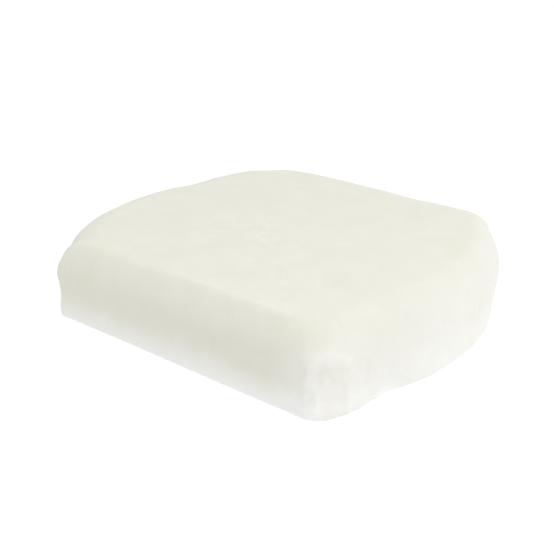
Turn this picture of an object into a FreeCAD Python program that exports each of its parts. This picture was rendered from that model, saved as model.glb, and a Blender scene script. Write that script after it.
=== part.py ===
import FreeCAD, Part
import math
import os

import Sketcher
from FreeCAD import Placement, Rotation, Vector

# A gymnastics chalk block: one pressed magnesium carbonate cake, worn round by hands.
# Millimetres, +Z up, origin at the middle of the underside.
# -Y is the flat front side, +Y the flat back side, -X and +X the two bulged ends.
# Each end is an arc (the bulge) that runs into a straight, tilted stretch (the flank).
# The flank is at the front of the right end and at the back of the left one.

SIZES = {
    "block_height": 20.5,
    "front_distance": 45.0,
    "back_distance": 45.0,
    "right_bulge_radius": 64.0,
    "right_bulge_centre_x": -12.0,
    "right_bulge_centre_y": 0.0,
    "right_flank_tilt": 12.0,
    "left_bulge_radius": 53.5,
    "left_bulge_centre_x": 1.5,
    "left_bulge_centre_y": -7.5,
    "left_flank_tilt": 13.0,
    # upright corners: their radius at the foot of the block and at the rim of its flat top
    "front_right_foot_radius": 6.0,
    "front_right_rim_radius": 6.0,
    "back_right_foot_radius": 6.0,
    "back_right_rim_radius": 8.0,
    "back_left_foot_radius": 18.0,
    "back_left_rim_radius": 20.0,
    "front_left_foot_radius": 1.5,
    "front_left_rim_radius": 8.0,
    # the worn crown is a quarter ellipse: this far down the sides and this far in over the top
    "crown_drop": 9.5,
    "front_crown_reach": 7.5,
    "right_crown_reach": 8.0,
    "back_crown_reach": 10.0,
    "left_crown_reach": 11.5,
    # the foot stands in a little below the widest level, and its edge is slightly rubbed
    "foot_undercut": 0.5,
    "foot_edge_radius": 0.6,
    # the flake lost from the right flank, from the front corner backward and down to the foot;
    # places along the flank count from the middle of the block, negative toward the front
    "flake_depth": 0.9,
    "flake_front": -42.0,
    "flake_front_height": 17.0,
    "flake_back": -21.0,
    "flake_back_height": 10.0,
    "flake_lip": 1.5,
    "flake_lip_height": 2.5,
    "flake_notch": 4.5,
    "flake_notch_height": 5.0,
}
SIDES = ("front", "right", "back", "left")
CORNERS = ("front_right", "back_right", "back_left", "front_left")
CROWN_ANGLES = (0.0, 22.5, 45.0, 67.5, 90.0)
RIGHT_TILT = "Sizes.right_flank_tilt * 1 deg"
LEFT_TILT = "Sizes.left_flank_tilt * 1 deg"
TINY = 0.001

# the sketcher's own numbers for the points of a line or arc and for its origin
START, END, CENTRE = 1, 2, 3
ORIGIN_POINT = (-1, START)

doc = FreeCAD.newDocument("chalk_block")


def make_sizes():
    """The spreadsheet that holds every driving dimension under its own name."""
    sheet = doc.addObject("Spreadsheet::Sheet", "Sizes")
    for row, (name, value) in enumerate(SIZES.items(), start=1):
        sheet.set(f"A{row}", name)
        sheet.set(f"B{row}", str(value))
        sheet.setAlias(f"B{row}", name)
    doc.recompute()


def number(rule):
    """The value of an expression on the spreadsheet."""
    return float(doc.Sizes.evalExpression(rule))


def new_sketch(body, name, plane_role):
    """An empty sketch on one of the body's own origin planes."""
    sketch = body.newObject("Sketcher::SketchObject", name)
    plane = next(item for item in body.Origin.OriginFeatures if item.Role == plane_role)
    sketch.AttachmentSupport = [(plane, "")]
    sketch.MapMode = "FlatFace"
    return sketch


def bind(sketch, kind, where, rule):
    """Adds a dimension to the sketch and ties it to the spreadsheet."""
    value = math.radians(number(rule)) if kind == "Angle" else number(rule)
    index = sketch.addConstraint(Sketcher.Constraint(kind, *where, value))
    sketch.setExpression(f"Constraints[{index}]", rule)


def foot_level():
    """Rules for the foot: its height, its inset on each side and the radius of each corner."""
    insets = {side: "Sizes.foot_undercut" for side in SIDES}
    radii = {corner: f"Sizes.{corner}_foot_radius" for corner in CORNERS}
    return "0", insets, radii


def crown_level(angle):
    """The same for a level of the crown, from 0 degrees (the widest) to 90 (the rim of the top)."""
    worn = f"(1 - cos({angle} deg))"
    height = f"Sizes.block_height - Sizes.crown_drop * (1 - sin({angle} deg))"
    insets = {side: f"Sizes.{side}_crown_reach * {worn}" for side in SIDES}
    radii = {
        corner: f"Sizes.{corner}_foot_radius * (1 - {worn}) + Sizes.{corner}_rim_radius * {worn}"
        for corner in CORNERS
    }
    return height, insets, radii


def end_arcs(end, near, far, turn, insets, radii):
    """Corner, bulge and corner of one end, each as centre, radius, first and last outward normal.

    They are worked out with the end toward +X and its flank beside the near corner. A turn of -1
    then takes them half round the origin, to where the left end lies.
    """
    near_radius = number(radii[f"{near}_{end}"])
    far_radius = number(radii[f"{far}_{end}"])
    bulge_x = number(f"Sizes.{end}_bulge_centre_x")
    bulge_y = number(f"Sizes.{end}_bulge_centre_y")
    bulge = Vector(bulge_x, bulge_y, 0) * turn
    bulge_radius = number(f"Sizes.{end}_bulge_radius - ({insets[end]})")
    tilt = math.radians(number(f"Sizes.{end}_flank_tilt"))
    flank_normal = Vector(math.cos(tilt), -math.sin(tilt), 0)
    near_y = near_radius - number(f"Sizes.{near}_distance - ({insets[near]})")
    far_y = number(f"Sizes.{far}_distance - ({insets[far]})") - far_radius
    flank_distance = flank_normal.dot(bulge) + bulge_radius - near_radius
    near_corner = Vector((flank_distance - flank_normal.y * near_y) / flank_normal.x, near_y, 0)
    across = math.sqrt((bulge_radius - far_radius) ** 2 - (far_y - bulge.y) ** 2)
    far_corner = Vector(bulge.x + across, far_y, 0)
    bulge_end = (far_corner - bulge).normalize()
    arcs = (
        (near_corner, near_radius, Vector(0, -1, 0), flank_normal),
        (bulge, bulge_radius, flank_normal, bulge_end),
        (far_corner, far_radius, bulge_end, Vector(0, 1, 0)),
    )
    return [(centre * turn, radius, first * turn, last * turn) for centre, radius, first, last in arcs]


def draw_level(sketch, arcs):
    """Draws the arcs counter-clockwise, with a line wherever two of them don't meet."""
    for arc, next_arc in zip(arcs, arcs[1:] + arcs[:1]):
        centre, radius, first, last = arc
        next_centre, next_radius, next_first, _ = next_arc
        start = math.atan2(first.y, first.x)
        sweep = (math.atan2(last.y, last.x) - start) % (2 * math.pi)
        circle = Part.Circle(centre, Vector(0, 0, 1), radius)
        sketch.addGeometry(Part.ArcOfCircle(circle, start, start + sweep))
        line_start = centre + last * radius
        line_end = next_centre + next_first * next_radius
        if line_start.distanceToPoint(line_end) > TINY:
            sketch.addGeometry(Part.LineSegment(line_start, line_end))


def level_sketch(body, name, level):
    """The closed outline of the block at one height: ten lines and arcs, each tangent to the next."""
    height, insets, radii = level
    sketch = new_sketch(body, name, "XY_Plane")
    sketch.setExpression("AttachmentOffset.Base.z", height)
    right_arcs = end_arcs("right", "front", "back", 1, insets, radii)
    left_arcs = end_arcs("left", "back", "front", -1, insets, radii)
    draw_level(sketch, right_arcs + left_arcs)
    # the pieces, in the order in which draw_level adds them
    front_right, right_flank, right_bulge, back_right, back = range(5)
    back_left, left_flank, left_bulge, front_left, front = range(5, 10)
    for piece in range(10):
        sketch.addConstraint(Sketcher.Constraint("Tangent", piece, END, (piece + 1) % 10, START))
    sketch.addConstraint(Sketcher.Constraint("Horizontal", front))
    sketch.addConstraint(Sketcher.Constraint("Horizontal", back))
    bind(sketch, "DistanceY", (front, START, *ORIGIN_POINT), f"Sizes.front_distance - ({insets['front']})")
    bind(sketch, "DistanceY", (*ORIGIN_POINT, back, START), f"Sizes.back_distance - ({insets['back']})")
    bind(sketch, "Angle", (right_flank,), f"90 deg - {RIGHT_TILT}")
    bind(sketch, "Angle", (left_flank,), f"-90 deg - {LEFT_TILT}")
    for end, bulge in (("right", right_bulge), ("left", left_bulge)):
        bind(sketch, "Radius", (bulge,), f"Sizes.{end}_bulge_radius - ({insets[end]})")
        bind(sketch, "DistanceX", (*ORIGIN_POINT, bulge, CENTRE), f"Sizes.{end}_bulge_centre_x")
        bind(sketch, "DistanceY", (*ORIGIN_POINT, bulge, CENTRE), f"Sizes.{end}_bulge_centre_y")
    for corner, piece in zip(CORNERS, (front_right, back_right, back_left, front_left)):
        bind(sketch, "Radius", (piece,), radii[corner])
    return sketch


def flake_sketch(body):
    """The flake's outline on a plane sunk into the right flank, with its X backward along the flank."""
    sketch = new_sketch(body, "flake_outline", "YZ_Plane")
    distance = (
        f"(Sizes.right_bulge_centre_x * cos({RIGHT_TILT}) - Sizes.right_bulge_centre_y * sin({RIGHT_TILT})"
        " + Sizes.right_bulge_radius - Sizes.flake_depth)"
    )
    turn = Rotation(Vector(0, -1, 0), number("Sizes.right_flank_tilt"))
    sketch.AttachmentOffset = Placement(Vector(), turn)
    sketch.setExpression("AttachmentOffset.Rotation.Angle", RIGHT_TILT)
    sketch.setExpression("AttachmentOffset.Base.x", f"-sin({RIGHT_TILT}) * {distance}")
    sketch.setExpression("AttachmentOffset.Base.z", f"cos({RIGHT_TILT}) * {distance}")
    notch = "Sizes.flake_back - Sizes.flake_notch"
    lip = "Sizes.flake_back - Sizes.flake_lip"
    # counter-clockwise from below the foot; the lip is the arc from the fourth point to the fifth
    rules = (
        ("Sizes.flake_front", "-Sizes.flake_depth"),
        (notch, "-Sizes.flake_depth"),
        (notch, "Sizes.flake_notch_height"),
        (lip, "Sizes.flake_back_height - Sizes.flake_lip_height"),
        (lip, "Sizes.flake_back_height + Sizes.flake_lip_height"),
        ("Sizes.flake_front", "Sizes.flake_front_height"),
    )
    lip_arc = 3
    lip_end = Vector(number("Sizes.flake_back"), number("Sizes.flake_back_height"), 0)
    points = [Vector(number(along), number(up), 0) for along, up in rules]
    for piece, (point, next_point) in enumerate(zip(points, points[1:] + points[:1])):
        if piece == lip_arc:
            sketch.addGeometry(Part.Arc(point, lip_end, next_point))
        else:
            sketch.addGeometry(Part.LineSegment(point, next_point))
    for piece, (along, up) in enumerate(rules):
        previous = (piece - 1) % len(rules)
        sketch.addConstraint(Sketcher.Constraint("Coincident", previous, END, piece, START))
        bind(sketch, "DistanceX", (*ORIGIN_POINT, piece, START), along)
        bind(sketch, "DistanceY", (*ORIGIN_POINT, piece, START), up)
    lip_radius = "(Sizes.flake_lip ^ 2 + Sizes.flake_lip_height ^ 2) / (2 * Sizes.flake_lip)"
    bind(sketch, "Radius", (lip_arc,), lip_radius)
    return sketch


def loft(body, name, sketches, ruled):
    """A solid skinned over the sketches from the first to the last, which grows the body."""
    feature = body.newObject("PartDesign::AdditiveLoft", name)
    feature.Profile = sketches[0]
    feature.Sections = sketches[1:]
    feature.Ruled = ruled
    doc.recompute()
    return feature


def make_block():
    """The cake: a wall from the foot to the widest level, the crown on it, then what has worn off."""
    body = doc.addObject("PartDesign::Body", "chalk_block")
    foot = level_sketch(body, "foot", foot_level())
    crown = [
        level_sketch(body, f"crown_{index}", crown_level(angle))
        for index, angle in enumerate(CROWN_ANGLES)
    ]
    doc.recompute()
    loft(body, "wall", [foot, crown[0]], True)
    whole = loft(body, "crown", crown, False)
    flake = body.newObject("PartDesign::Pocket", "flake")
    flake.Profile = flake_sketch(body)
    flake.Reversed = True  # outward from the sunk plane
    flake.setExpression("Length", "2 * Sizes.flake_depth")
    doc.recompute()
    if flake.Shape.Volume > whole.Shape.Volume - 1:
        raise RuntimeError("the flake took nothing off the block")
    foot_edges = [
        f"Edge{index}"
        for index, edge in enumerate(flake.Shape.Edges, start=1)
        if edge.BoundBox.ZMax < TINY
    ]
    rubbed = body.newObject("PartDesign::Fillet", "foot_edge")
    rubbed.Base = (flake, foot_edges)
    rubbed.setExpression("Radius", "Sizes.foot_edge_radius")
    doc.recompute()
    body.Placement = Placement()
    return body


def check_document():
    """Stops if any object failed to recompute or a sketch is left loose."""
    for item in doc.Objects:
        if "Invalid" in item.State or "Error" in item.State:
            raise RuntimeError(f"{item.Name} did not recompute")
        if item.TypeId == "Sketcher::SketchObject" and not item.FullyConstrained:
            raise RuntimeError(f"{item.Name} is not fully constrained")


def export(body):
    """Writes the body's shape to the file that carries its label."""
    shape = body.Shape
    if shape.isNull() or not shape.isValid() or len(shape.Solids) != 1:
        raise RuntimeError(f"{body.Label} is not one valid solid")
    shape.exportStep(f"parts/{body.Label}.step")
    print(f"{body.Label}: {shape.Volume / 1000:.1f} cm3, {len(shape.Faces)} faces")


make_sizes()
block = make_block()
check_document()
os.makedirs("parts", exist_ok=True)
export(block)
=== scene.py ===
import math
import random

import bmesh
import bpy
import numpy as np
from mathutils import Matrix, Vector, kdtree, noise


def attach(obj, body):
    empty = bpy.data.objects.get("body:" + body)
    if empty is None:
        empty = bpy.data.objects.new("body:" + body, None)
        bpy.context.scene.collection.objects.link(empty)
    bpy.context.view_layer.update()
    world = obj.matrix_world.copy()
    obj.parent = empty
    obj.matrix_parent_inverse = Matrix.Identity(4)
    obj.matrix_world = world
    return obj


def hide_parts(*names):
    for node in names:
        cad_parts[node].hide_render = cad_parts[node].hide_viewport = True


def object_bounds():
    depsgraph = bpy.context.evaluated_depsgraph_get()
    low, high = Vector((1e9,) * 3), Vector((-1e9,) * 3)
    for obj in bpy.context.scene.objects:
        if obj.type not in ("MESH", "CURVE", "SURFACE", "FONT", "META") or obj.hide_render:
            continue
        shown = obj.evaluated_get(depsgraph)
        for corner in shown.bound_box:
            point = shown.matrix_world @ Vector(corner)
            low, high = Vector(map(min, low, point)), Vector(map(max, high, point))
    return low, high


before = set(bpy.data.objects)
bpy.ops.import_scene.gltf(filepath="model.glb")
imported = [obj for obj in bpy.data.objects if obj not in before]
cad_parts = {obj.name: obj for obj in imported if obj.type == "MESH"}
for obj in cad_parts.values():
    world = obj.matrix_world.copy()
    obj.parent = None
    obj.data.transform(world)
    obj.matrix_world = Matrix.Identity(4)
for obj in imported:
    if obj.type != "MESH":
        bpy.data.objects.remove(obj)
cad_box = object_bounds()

# A gymnastics chalk block: one cake of pressed chalk powder, worn by hands. The frame's -Y side is
# its flat front, +X its right end and +Z its top. Blender's units are metres. The wear is worked out
# in millimetres, and every height, reach and depth of wear below is in them.

MM = 0.001
LOW, HIGH = (np.array(corner) / MM for corner in cad_box)
LENGTH, DEPTH, HEIGHT = HIGH - LOW
FRONT, RIGHT, BACK, LEFT = LOW[1], HIGH[0], HIGH[1], LOW[0]

# The mesh that carries the wear
SQUARE = 0.52  # side of its squares
SMOOTHING = 2  # rounds of smoothing that take the steps out of the remeshed surface

# The flank is the flat stretch at the front of the right end, turned this far from square
FLANK_TURN = math.radians(12)
ALONG_FLANK = np.array((math.sin(FLANK_TURN), math.cos(FLANK_TURN)))
OUT_OF_FLANK = np.array((math.cos(FLANK_TURN), -math.sin(FLANK_TURN)))

# The camera and the lamp are placed by degrees round from the front towards the right end, degrees
# above the floor, and metres from the camera's aim.
CAMERA_ROUND = 38.93
CAMERA_ABOVE = 24.16
CAMERA_AWAY = 2.5 * LENGTH * MM
CAMERA_AIM = Vector((-0.093 * LENGTH, 0.086 * DEPTH, 0.0135 * HEIGHT)) * MM
CAMERA_ANGLE = 32.51

SKY = 0.66  # brightness of the white all round
KEY_ROUND = 85
KEY_ABOVE = 57
KEY_AWAY = 6 * LENGTH * MM
KEY_WIDTH = 3 * LENGTH * MM
KEY_WATTS = 1.51
FLOOR_GLOW = 0.87  # the floor shines as well, like a light table
FLOOR_TONE = 0.2  # share of the light that it reflects
STUDIO_REACH = 60 * LENGTH * MM  # how far off the floor meets the backdrop

# The pressed edge along the front of the top, and the small creases behind it
RIDGE_FROM_FRONT = 3.9
RIDGE_WIDTH = 1.2
RIDGE_LIFT = 0.65
RIDGE_STARTS = (LEFT + 4, LEFT + 12)  # it comes up between these places along the block's length
RIDGE_STOPS = (31, 40)  # and fades between these
CREASES = ((5.4, 0.14), (7.6, 0.11))  # distance from the front, and height
CREASE_REACH = 1.5
CREASE_STARTS = (-10, 6)
CREASE_STOPS = (28, 36)

# Hollows in the outline and on the top, each with its centre, its reach and its depth. A bulge has a
# negative depth.
HOLLOWS = (
    ((46.5, -25.5, 0), 9, 0.7),
    ((51, -13, 0), 8, -0.5),
    ((45, -36.5, 0), 7, -0.7),
    ((46.5, 25, 2), 9, 0.5),
    ((39, 37, 15.5), 8, 0.3),
    ((13, 40, 19.5), 9, 0.4),
    ((-24, 39, 19.5), 9, 0.2),
    ((-35, 35, 19), 8, 0.35),
    ((-43, 11, 19.3), 8, 0.3),
    ((-45.5, -23.6, 18), 8, -0.25),
    ((-40, -38, 16), 8, 0.7),
    ((-38.5, -43.5, 8), 5.5, 0.5),
    ((-38, -44, 1), 5, -0.35),
    ((16, -10, HEIGHT), 6, 0.08),
    ((30, -22, HEIGHT), 7, 0.09),
    ((19, -28, HEIGHT), 2.2, 0.12),
)

# The foot of the flank is pushed in here, so that its outline bends
FOOT_DENT = (48.3, -24.2, 0)
FOOT_DENT_REACH = 5.5
FOOT_DENT_DEPTH = 0.45

# The flaked spot low at the front right corner. Its places are given as the distance over the surface,
# from the flat front's end round the corner and on along the flank, and the height.
CORNER = (RIGHT - 13, FRONT + 6)  # centre of the corner's curve, which ends the flank
CORNER_RADIUS = 6
SCAR = ((4, 0), (3.5, 8), (4.5, 15), (11.5, 13.3), (16, 12.4), (17.4, 9.8), (12.8, 5), (12, 0))
SCAR_FILLS = (0.45, 0.85)  # how far it is filled at its front and its back, so that it fades out
SCAR_ROUGHNESS = 0.10
SCAR_SOFTENING = 35  # rounds of smoothing that wear down the scar's cut edge
RIM = ((1.2, 1), (2, 5), (1.9, 10), (3, 14), (5, 15.4), (7.5, 15.2), (11.5, 13.2))  # pale and raised; its paleness is partly whiter powder and partly a painted highlight
RIM_WIDTH = 1.7
RIM_LIFT = 0.08
FAINT_RIM = ((11.5, 13.2), (13.9, 9.2), (16.7, 6.3), (14.6, 4.5), (12.6, 3.2))
FAINT_RIM_WIDTH = 1.5
SLIT = ((0.7, 3.4), (2.1, 5))
SLIT_WIDTH = 1.6
SLIT_DEPTH = 0.15
FACET_TURN = math.radians(62)  # the flat broken face at the scar's front turns this far from the front
FACET_DEPTH = 1.1
OUT_OF_FACET = np.array((math.sin(FACET_TURN), -math.cos(FACET_TURN)))

# Loose powder low on the front, a paler and a duller place, and strokes across the scuffed middle of
# the top
SMUDGES = (((5, FRONT, 5), 5), ((13, FRONT, 6), 4), ((-20, FRONT, 4), 5))
HAZE = (50, -9, 11)
HAZE_REACH = 16
DULL = (30.5, -21.5, HEIGHT)
DULL_REACH = 7
STROKES = (
    ((-17, -5), (-8, -9)),
    ((-10, -1), (-2, -5)),
    ((-16, -18), (-8, -23)),
    ((-2, -10), (7, -14)),
    ((1, -23), (10, -28)),
    ((12, 2), (20, -3)),
)
SCUFFED = ((-12, -8, HEIGHT), (20, -26, HEIGHT))
SCUFFED_REACH = 17
STROKE_REACH = 2.4
PITS = 60

CAKE_COLOUR = (0.80, 0.80, 0.707, 1)
# The whiter colour serves loose powder and painted light alike.
POWDER_AND_PAINTED_LIGHT_COLOUR = (0.96, 0.96, 0.93, 1)
RIGHT_END_TINT = (0.989, 0.985, 1.015, 1)  # takes a little of the ivory out of the right end
GRAIN_DEPTH = 0.03 * MM
LUMP_DEPTH = 0.05 * MM
GLOW_REACH = 0.8 * MM  # how far light travels inside the chalk


# ---------------------------------------------------------------- mesh helpers

def add_object(name, data):
    """A new object in the scene."""
    added = bpy.data.objects.new(name, data)
    bpy.context.scene.collection.objects.link(added)
    return added


def apply_modifiers(changed):
    """Works the object's modifiers into its mesh."""
    finished = changed.evaluated_get(bpy.context.evaluated_depsgraph_get())
    mesh = bpy.data.meshes.new_from_object(finished)
    changed.modifiers.clear()
    changed.data = mesh


def points_of(mesh):
    """The mesh's points in millimetres, one row each."""
    flat = np.empty(3 * len(mesh.vertices))
    mesh.vertices.foreach_get("co", flat)
    return flat.reshape(-1, 3) / MM


def normals_of(mesh):
    """The mesh's normals, one row for each point."""
    flat = np.empty(3 * len(mesh.vertices))
    mesh.vertex_normals.foreach_get("vector", flat)
    return flat.reshape(-1, 3)


def move_points(mesh, points):
    """Puts the mesh's points at these places, given in millimetres."""
    mesh.vertices.foreach_set("co", (points * MM).ravel())
    mesh.update()


def store(mesh, name, values):
    """Keeps one number for each point on the mesh, for a material to read."""
    mesh.attributes.new(name, "FLOAT", "POINT").data.foreach_set("value", values)


# ---------------------------------------------------------------- the cake's shape

def even_cake():
    """The CAD block's surface again, as one closed mesh of small even squares."""
    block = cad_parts["chalk_block"]
    cake = add_object("chalk_cake", block.data.copy())
    cake.data.materials.clear()
    squares = cake.modifiers.new("squares", "REMESH")
    squares.mode = "VOXEL"
    squares.voxel_size = SQUARE * MM
    wrap = cake.modifiers.new("wrap", "SHRINKWRAP")
    wrap.target = block
    smooth = cake.modifiers.new("smooth", "SMOOTH")
    smooth.factor = 0.5
    smooth.iterations = SMOOTHING
    apply_modifiers(cake)
    cake.data.shade_smooth()
    return cake


# ---------------------------------------------------------------- measures over the surface

def noise_at(points, size, seed, octaves=2):
    """Smooth random values from about -1 to 1, changing over lengths of this size."""
    shift = 17.3 * seed * Vector((1, 2, 3))
    return np.array([noise.fractal(Vector(point) / size + shift, 1, 2, octaves) for point in points])


def dome(distance, reach):
    """1 at no distance, falling smoothly to 0 at this reach."""
    return np.clip(1 - (distance / reach) ** 2, 0, 1) ** 2


def rise(values, start, end):
    """0 at start or before it, climbing smoothly to 1 at end."""
    share = np.clip((values - start) / (end - start), 0, 1)
    return share * share * (3 - 2 * share)


def from_spot(points, spot):
    """Each point's distance from one spot."""
    return np.linalg.norm(points - np.array(spot), axis=1)


def from_line(points, start, end):
    """Each point's distance from a straight line between two spots."""
    start = np.array(start)
    line = np.array(end) - start
    share = np.clip((points - start) @ line / (line @ line), 0, 1)
    return np.linalg.norm(points - start - share[:, None] * line, axis=1)


def from_path(points, path):
    """Each point's distance from a path of straight lines."""
    return np.min([from_line(points, start, end) for start, end in zip(path, path[1:])], axis=0)


def outside_outline(flat, corners):
    """Each flat point's distance from a closed outline, negative inside it."""
    nearest = from_path(flat, corners + corners[:1])
    inside = np.zeros(len(flat), bool)
    for start, end in zip(corners, corners[1:] + corners[:1]):
        spans = (start[1] > flat[:, 1]) != (end[1] > flat[:, 1])
        if start[1] != end[1]:
            share = (flat[:, 1] - start[1]) / (end[1] - start[1])
            inside ^= spans & (flat[:, 0] < start[0] + share * (end[0] - start[0]))
    return np.where(inside, -nearest, nearest)


def on_crown(points):
    """1 on the top and its rounded edge, falling to 0 on the sides."""
    return rise(points[:, 2], 0.6 * HEIGHT, 0.8 * HEIGHT)


def on_top(points):
    """1 on the flat of the top, falling to 0 at its edge."""
    return rise(points[:, 2], HEIGHT - 1, HEIGHT - 0.2)


def in_front(points):
    """1 in the block's front half, falling to 0 at its back, where the scar's measure repeats."""
    return rise(-points[:, 1], -BACK, 0)


def over_corner(points):
    """Each point as its distance round the front right corner and its height, as the scar is measured."""
    beside = points[:, :2] - np.array(CORNER)
    turn = np.arctan2(beside[:, 0], -beside[:, 1])
    on_corner = CORNER_RADIUS * np.clip(turn, 0, math.pi / 2 - FLANK_TURN)
    on_flank = np.maximum(beside @ ALONG_FLANK, 0)
    on_front = np.minimum(beside[:, 0], 0)
    return np.column_stack((on_front + on_corner + on_flank, points[:, 2]))


# ---------------------------------------------------------------- wear, with painted light and shade

def uneven(points):
    """How far the hand-pressed surface stands out, from broad waves down to crumbs."""
    broad = 0.13 * noise_at(points, 21, 1)
    pressed = 0.035 * noise_at(points, 6, 2)
    crumbs = 0.018 * noise_at(points, 1.7, 3)
    return broad + pressed + crumbs


def hollows(points):
    """Shallow hollows and waves in the outline."""
    return -sum(depth * dome(from_spot(points, spot), reach) for spot, reach, depth in HOLLOWS)


def foot_dent(points):
    """How far the foot of the flank is pushed in."""
    return FOOT_DENT_DEPTH * dome(from_spot(points, FOOT_DENT), FOOT_DENT_REACH)


def ridge(points):
    """The pressed edge along the front: how far it rises above the round crown."""
    from_front = points[:, 1] - FRONT
    edge = RIDGE_LIFT * np.exp(-0.5 * ((from_front - RIDGE_FROM_FRONT) / RIDGE_WIDTH) ** 2)
    along = rise(points[:, 0], *RIDGE_STARTS) * (1 - rise(points[:, 0], *RIDGE_STOPS))
    return edge * along * on_crown(points)


def creases(points):
    """The small creases behind the pressed edge: how far they rise."""
    along = rise(points[:, 0], *CREASE_STARTS) * (1 - rise(points[:, 0], *CREASE_STOPS))
    from_front = points[:, 1] - FRONT + 0.25 * noise_at(points, 5, 14)
    raised = sum(height * dome(from_front - place, CREASE_REACH) for place, height in CREASES)
    return raised * along * on_crown(points)


def scar(points):
    """The flaked spot at the front of the flank: how far it stands out, and how pale it is, its rim
    partly whiter powder and partly a painted highlight.
    """
    flat = over_corner(points)
    edge = outside_outline(flat, SCAR)
    fill = SCAR_FILLS[0] + (SCAR_FILLS[1] - SCAR_FILLS[0]) * rise(flat[:, 0], 5, 11)
    spread = 0.3 + 1.4 * rise(flat[:, 0], 8, 12)
    filled = fill * (1 - rise(edge, -2.2, spread))
    broken = SCAR_ROUGHNESS * noise_at(points, 2.2, 6, octaves=3) * (1 - rise(edge, -1.6, 0))
    ragged = 0.6 * noise_at(points, 2.2, 4)
    rim = dome(from_path(flat, RIM) + ragged, RIM_WIDTH)
    rim *= np.clip(0.32 + 0.18 * noise_at(points, 2.4, 5), 0, 1) * (2 - rise(points[:, 2], 8, 12))
    faint = dome(from_path(flat, FAINT_RIM) + 1.2 * ragged, FAINT_RIM_WIDTH)
    faint *= np.clip(0.1 + noise_at(points, 2.4, 7), 0, 1)
    near = rise(flat[:, 0], -4, 0) * in_front(points)
    return near * (filled + broken + RIM_LIFT * (rim + 0.5 * faint)), near * (rim + 0.4 * faint)


def facet(points):
    """How far the flat broken face at the scar's front lies below each point."""
    height = points[:, 2]
    beyond = (points[:, :2] - np.array(CORNER)) @ OUT_OF_FACET - (CORNER_RADIUS - FACET_DEPTH)
    beyond += 0.15 * noise_at(points, 2.5, 13, octaves=3)
    near = rise(height, 0.5, 5) * (1 - rise(height, 9, 15))
    near *= (1 - rise(over_corner(points)[:, 0], 9, 13)) * in_front(points)
    return near * np.maximum(beyond, 0)


def slit(points):
    """The slit low on the front right corner: how far it stands out, and how much painted shade darkens
    it.
    """
    groove = dome(from_path(over_corner(points), SLIT) + 0.4 * noise_at(points, 1.6, 9), SLIT_WIDTH)
    groove *= in_front(points)
    return -SLIT_DEPTH * groove, -0.4 * groove


def scuffs(points):
    """The scuffed middle of the top: how far its crumbs stand out, which is also how pale they are, as
    painted light on the crumbs and painted shade between them.
    """
    patchy = np.clip(0.5 + 0.9 * noise_at(points, 7, 15), 0, 1)
    crumbs = noise_at(points, 2.3, 12, octaves=4)
    return on_top(points) * dome(from_line(points, *SCUFFED), SCUFFED_REACH) * patchy * crumbs


def smudges(points):
    """How pale the smudges of loose powder low on the front are."""
    pale = sum(dome(from_spot(points, spot), reach) for spot, reach in SMUDGES)
    return pale * np.clip(0.4 + 1.2 * noise_at(points, 2.2, 10, octaves=3), 0, 1)


def strokes(points):
    """How pale the strokes worn into the top are."""
    pale = np.zeros(len(points))
    for start, end in STROKES:
        distance = from_line(points, (*start, HEIGHT), (*end, HEIGHT))
        pale = np.maximum(pale, dome(distance, STROKE_REACH))
    return on_top(points) * pale * (0.6 + 0.6 * noise_at(points, 2.5, 8, octaves=3))


def pits(points):
    """Pinholes scattered over the sides and crown, and a few on the top."""
    out = np.zeros(len(points))
    tree = kdtree.KDTree(len(points))
    for index, point in enumerate(points):
        tree.insert(point, index)
    tree.balance()
    chance = random.Random(12)
    above_foot = [int(index) for index in np.flatnonzero(points[:, 2] > 1)]
    for _ in range(PITS):
        spot = points[chance.choice(above_foot)]
        reach = chance.uniform(0.8, 1.5)
        depth = chance.uniform(0.06, 0.2) * (0.4 if spot[2] > HEIGHT - 0.5 else 1)
        for _, index, distance in tree.find_range(spot, reach):
            out[index] = min(out[index], -depth * dome(distance, reach))
    return out


def soften_scar(cake):
    """Wears down the cut edge that the CAD block's scar has, with a smoothing that acts only there."""
    points = points_of(cake.data)
    weights = (1 - rise(outside_outline(over_corner(points), SCAR), 2, 4)) * rise(points[:, 2], 0, 1)
    near = cake.vertex_groups.new(name="scar")
    for index in np.flatnonzero(weights > 0.01):
        near.add([int(index)], float(weights[index]), "REPLACE")
    smooth = cake.modifiers.new("soften", "SMOOTH")
    smooth.iterations = SCAR_SOFTENING
    smooth.vertex_group = "scar"
    apply_modifiers(cake)


def painted_light_low_down(points, normals):
    """How much painted light whitens the low parts, standing in for the floor's glow: most along the flat
    front's foot, less elsewhere, with a patch on the front right corner.
    """
    height = points[:, 2]
    front = rise(-normals[:, 1], 0.4, 0.85)
    front_foot = (0.8 + 0.2 * rise(points[:, 0], -30, 35)) * (1 - rise(height, -1, 9))
    other_foot = 0.28 * (1 - rise(height, 3, 16)) + 0.2 * (1 - rise(height, 0, 1.5))
    # Painted light on the front right corner, where the shading turns towards the lamp.
    corner = 0.3 * dome(over_corner(points)[:, 0] + 1, 9) * (1 - rise(height, 12, 20))
    return front * front_foot + (1 - front) * other_foot + front * corner


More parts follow.
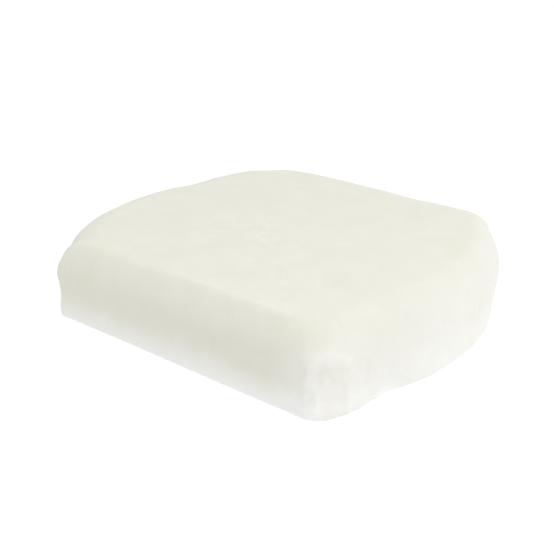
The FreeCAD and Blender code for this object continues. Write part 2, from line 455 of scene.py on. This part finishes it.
def wear_and_painted_light(cake):
    """Gives the even cake its hand-worn surface, and stores where it is paler or duller for chalk(),
    painted light and shade included.
    """
    points = points_of(cake.data)
    normals = normals_of(cake.data)
    scar_out, scar_pale_and_highlight = scar(points)
    slit_out, slit_painted_shade = slit(points)
    pit_out = pits(points)
    scuffed = scuffs(points)
    out = uneven(points) + hollows(points) + scar_out + slit_out + pit_out + 0.06 * scuffed
    outward = normals.copy()
    outward[:, 2] *= rise(points[:, 2], 0, 2)
    worn = points + outward * out[:, None]
    worn[:, :2] -= facet(worn)[:, None] * OUT_OF_FACET
    dented = foot_dent(points)
    worn[:, :2] -= dented[:, None] * OUT_OF_FLANK
    creased = creases(points)
    worn[:, 2] += ridge(points) + creased
    worn[:, 2] = np.where(normals[:, 2] < -0.9, 0, worn[:, 2])
    move_points(cake.data, np.clip(worn, LOW, HIGH))

    # Painted light: paler towards the camera's side of the block, where more light falls.
    painted_light_towards_camera = 0.09 * rise(points @ np.array((0.63, -0.78, 0)), -40, 50)
    # The scar's rim is partly whiter powder and partly a painted highlight, and the slit is darkened with
    # painted shade.
    marks_and_painted_light = 0.63 * scar_pale_and_highlight + 0.6 * slit_painted_shade + 0.2 * smudges(points) + 0.12 * strokes(points)
    marks_and_painted_light += 0.13 * dome(from_spot(points, HAZE), HAZE_REACH)
    marks_and_painted_light -= 0.1 * dome(from_spot(points, DULL), DULL_REACH)
    # Painted highlight on the crease crests, painted shade in the pits, painted light and shade on the
    # scuffed crumbs, and painted light on the pushed-in foot of the flank.
    marks_and_painted_light += 0.15 * scuffed + 0.7 * creased + 0.6 * pit_out + 0.5 * dented
    store(cake.data, "pale", painted_light_low_down(points, normals) + painted_light_towards_camera + marks_and_painted_light)
    # A slightly cooler tint on the faces that look towards the right end.
    store(cake.data, "dust", rise(normals[:, 0], 0.2, 0.8))


# ---------------------------------------------------------------- materials

def new_material(name):
    """A material, its shader and links, and a function that adds a node with its sockets joined up.

    A socket that shares its name with another is given by number, as _0 or _1.
    """
    material = bpy.data.materials.new(name)
    material.use_nodes = True
    tree = material.node_tree

    def node(kind, settings=(), **sockets):
        added = tree.nodes.new("ShaderNode" + kind)
        for setting, value in dict(settings).items():
            setattr(added, setting, value)
        for socket, value in sockets.items():
            place = added.inputs[int(socket[1:])] if socket[1:].isdigit() else added.inputs[socket]
            if isinstance(value, bpy.types.NodeSocket):
                tree.links.new(value, place)
            else:
                place.default_value = value
        return added.outputs

    return material, tree.nodes["Principled BSDF"], tree.links, node


def chalk():
    """Pressed magnesium carbonate: ivory where it is dense, whiter where powder lies loose and where
    light is painted on, darker where shade is painted on.
    """
    material, shader, links, node = new_material("chalk")
    place = node("TexCoord")["Object"]
    pale_marks_and_painted_light = node("Attribute", {"attribute_name": "pale"})["Fac"]
    clouds = node("TexNoise", Vector=place, Scale=110, Detail=3, Roughness=0.55)["Fac"]
    smears = node("TexNoise", Vector=place, Scale=420, Detail=4, Roughness=0.6, Distortion=0.8)["Fac"]
    grain = node("TexNoise", Vector=place, Scale=2600, Detail=3, Roughness=0.7)["Fac"]

    def scaled(value, share, add):
        return node("Math", {"operation": "MULTIPLY_ADD"}, _0=value, _1=share, _2=add)[0]

    tone = scaled(clouds, 0.36, scaled(smears, 0.22, scaled(grain, 0.2, -0.34)))
    tone = scaled(pale_marks_and_painted_light, 1, tone)
    # A Mix node's colours come in at its sockets 6 and 7, and the mixed colour goes out at 2.
    mixed = {"data_type": "RGBA", "clamp_factor": True}
    colours = node("Mix", mixed, Factor=tone, _6=CAKE_COLOUR, _7=POWDER_AND_PAINTED_LIGHT_COLOUR)
    right_end_share = node("Attribute", {"attribute_name": "dust"})["Fac"]
    tinting = {"data_type": "RGBA", "blend_type": "MULTIPLY"}
    tinted = node("Mix", tinting, Factor=right_end_share, _6=colours[2], _7=RIGHT_END_TINT)
    links.new(tinted[2], shader.inputs["Base Color"])

    rough = scaled(grain, 0.12, 0.86)
    links.new(rough, shader.inputs["Roughness"])
    shader.inputs["Diffuse Roughness"].default_value = 0.6
    shader.inputs["Specular IOR Level"].default_value = 0.2
    shader.inputs["Subsurface Weight"].default_value = 0.3
    shader.inputs["Subsurface Radius"].default_value = (1, 0.95, 0.8)
    shader.inputs["Subsurface Scale"].default_value = GLOW_REACH

    lumps = node("TexNoise", Vector=place, Scale=900, Detail=3, Roughness=0.6)["Fac"]
    coarse = node("Bump", Height=lumps, Strength=0.5, Distance=LUMP_DEPTH)["Normal"]
    fine = node("Bump", Height=grain, Strength=0.5, Distance=GRAIN_DEPTH, Normal=coarse)["Normal"]
    links.new(fine, shader.inputs["Normal"])
    return material


def studio_white(name, tone, glow):
    """Plain matt white that reflects this share of the light and glows this much."""
    material, shader, _, _ = new_material(name)
    shader.inputs["Base Color"].default_value = (tone, tone, tone, 1)
    shader.inputs["Roughness"].default_value = 1
    shader.inputs["Specular IOR Level"].default_value = 0
    shader.inputs["Emission Strength"].default_value = glow
    return material


# ---------------------------------------------------------------- studio

def aim(thing, round_it, above, away):
    """Stands a camera or lamp at these degrees round and above the block and this far off, facing it."""
    turn = math.radians(round_it)
    tilt = math.radians(above)
    toward = Vector((math.sin(turn) * math.cos(tilt), -math.cos(turn) * math.cos(tilt), math.sin(tilt)))
    thing.location = CAMERA_AIM + toward * away
    thing.rotation_mode = "QUATERNION"
    thing.rotation_quaternion = toward.to_track_quat("Z", "Y")


def add_camera():
    """The camera, at the height and side that the block is seen from."""
    camera = add_object("camera", bpy.data.cameras.new("camera"))
    camera.data.angle = math.radians(CAMERA_ANGLE)
    camera.data.clip_start = 0.1 * CAMERA_AWAY
    camera.data.clip_end = 100 * CAMERA_AWAY
    aim(camera, CAMERA_ROUND, CAMERA_ABOVE, CAMERA_AWAY)
    bpy.context.scene.camera = camera


def add_light():
    """White surroundings, and one large soft lamp over the right end."""
    world = bpy.data.worlds.new("studio")
    world.use_nodes = True
    surroundings = world.node_tree.nodes["Background"]
    surroundings.inputs["Color"].default_value = (1, 1, 1, 1)
    surroundings.inputs["Strength"].default_value = SKY
    bpy.context.scene.world = world
    lamp = add_object("key", bpy.data.lights.new("key", "AREA"))
    lamp.data.shape = "DISK"
    lamp.data.size = KEY_WIDTH
    lamp.data.energy = KEY_WATTS
    aim(lamp, KEY_ROUND, KEY_ABOVE, KEY_AWAY)


def add_floor():
    """A pale floor that reaches to the backdrop."""
    mesh = bpy.data.meshes.new("floor")
    reach = STUDIO_REACH
    corners = [(-reach, -reach, 0), (reach, -reach, 0), (reach, reach, 0), (-reach, reach, 0)]
    mesh.from_pydata(corners, [], [(0, 1, 2, 3)])
    floor = add_object("floor", mesh)
    mesh.materials.append(studio_white("pale_floor", FLOOR_TONE, FLOOR_GLOW))


def add_backdrop():
    """A white backdrop above the horizon, which is seen but sends no light to the block."""
    sphere = bmesh.new()
    bmesh.ops.create_uvsphere(sphere, u_segments=64, v_segments=32, radius=STUDIO_REACH)
    mesh = bpy.data.meshes.new("backdrop")
    sphere.to_mesh(mesh)
    sphere.free()
    mesh.materials.append(studio_white("backdrop", 0, 1))
    backdrop = add_object("backdrop", mesh)
    backdrop.visible_diffuse = False
    backdrop.visible_glossy = False
    backdrop.visible_transmission = False
    backdrop.visible_volume_scatter = False
    backdrop.visible_shadow = False


# ---------------------------------------------------------------- assembly

add_camera()
add_light()
add_floor()
add_backdrop()

cake = even_cake()
soften_scar(cake)
wear_and_painted_light(cake)
cake.data.materials.append(chalk())
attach(cake, "root")
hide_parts("chalk_block")

bpy.context.scene.view_settings.view_transform = "Standard"
